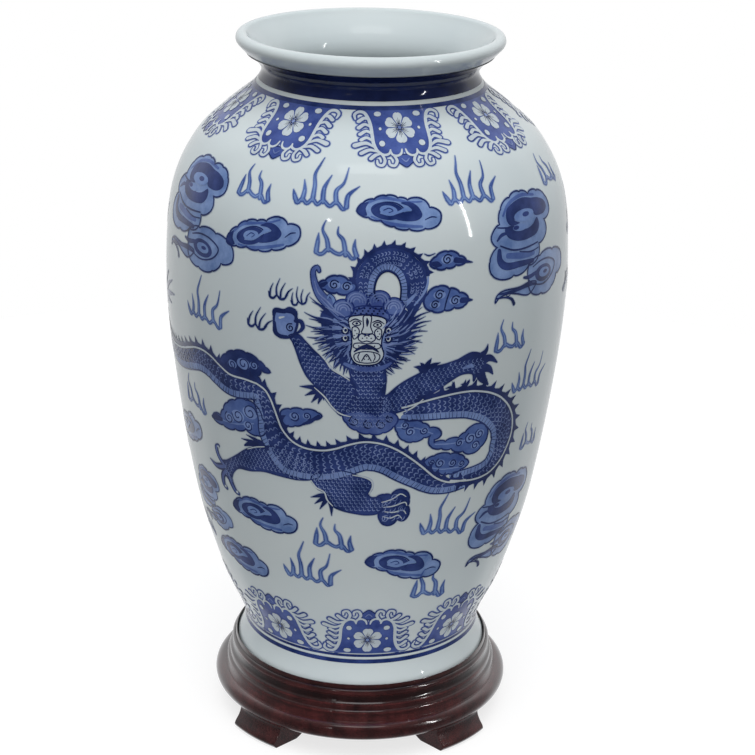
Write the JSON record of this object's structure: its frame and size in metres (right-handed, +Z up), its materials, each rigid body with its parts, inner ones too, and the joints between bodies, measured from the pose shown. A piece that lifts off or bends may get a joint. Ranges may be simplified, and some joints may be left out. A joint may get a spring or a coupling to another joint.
{
  "type": "porcelain vase on stand",
  "caption": "Ovoid blue-and-white porcelain vase with a short flared neck, standing in the recess of a moulded round rosewood stand on bracket feet.",
  "frame": {"origin": "centre of the footprint, on the surface that the stand rests on", "axes": "+Z up along the axis of the vase, -Y towards the front, where the dragon's head is"},
  "size_m": [0.2228, 0.2228, 0.3987],
  "materials": {
    "glaze": "clear high-gloss glaze over cobalt painting",
    "rosewood": "dark red-brown polish, semi-gloss",
    "hidden_wood": "bare wood, glued"
  },
  "bodies": {
    "stand": {"ring_segment_1": "rosewood", "ring_segment_2": "rosewood", "ring_segment_3": "rosewood", "ring_segment_4": "rosewood", "floor_panel": "rosewood", "foot_1": "rosewood", "foot_2": "rosewood", "foot_3": "rosewood", "foot_4": "rosewood", "joint_tongue_1": "hidden_wood", "joint_tongue_2": "hidden_wood", "joint_tongue_3": "hidden_wood", "joint_tongue_4": "hidden_wood", "dowel_1a": "hidden_wood", "dowel_1b": "hidden_wood", "dowel_2a": "hidden_wood", "dowel_2b": "hidden_wood", "dowel_3a": "hidden_wood", "dowel_3b": "hidden_wood", "dowel_4a": "hidden_wood", "dowel_4b": "hidden_wood"},
    "vase": {"vase": "glaze"}
  },
  "joints": [
    {"name": "vase_lift", "type": "slide", "parent": "stand", "child": "vase", "axis": [0, 0, 1], "range_m": [0, 0.06]}
  ]
}
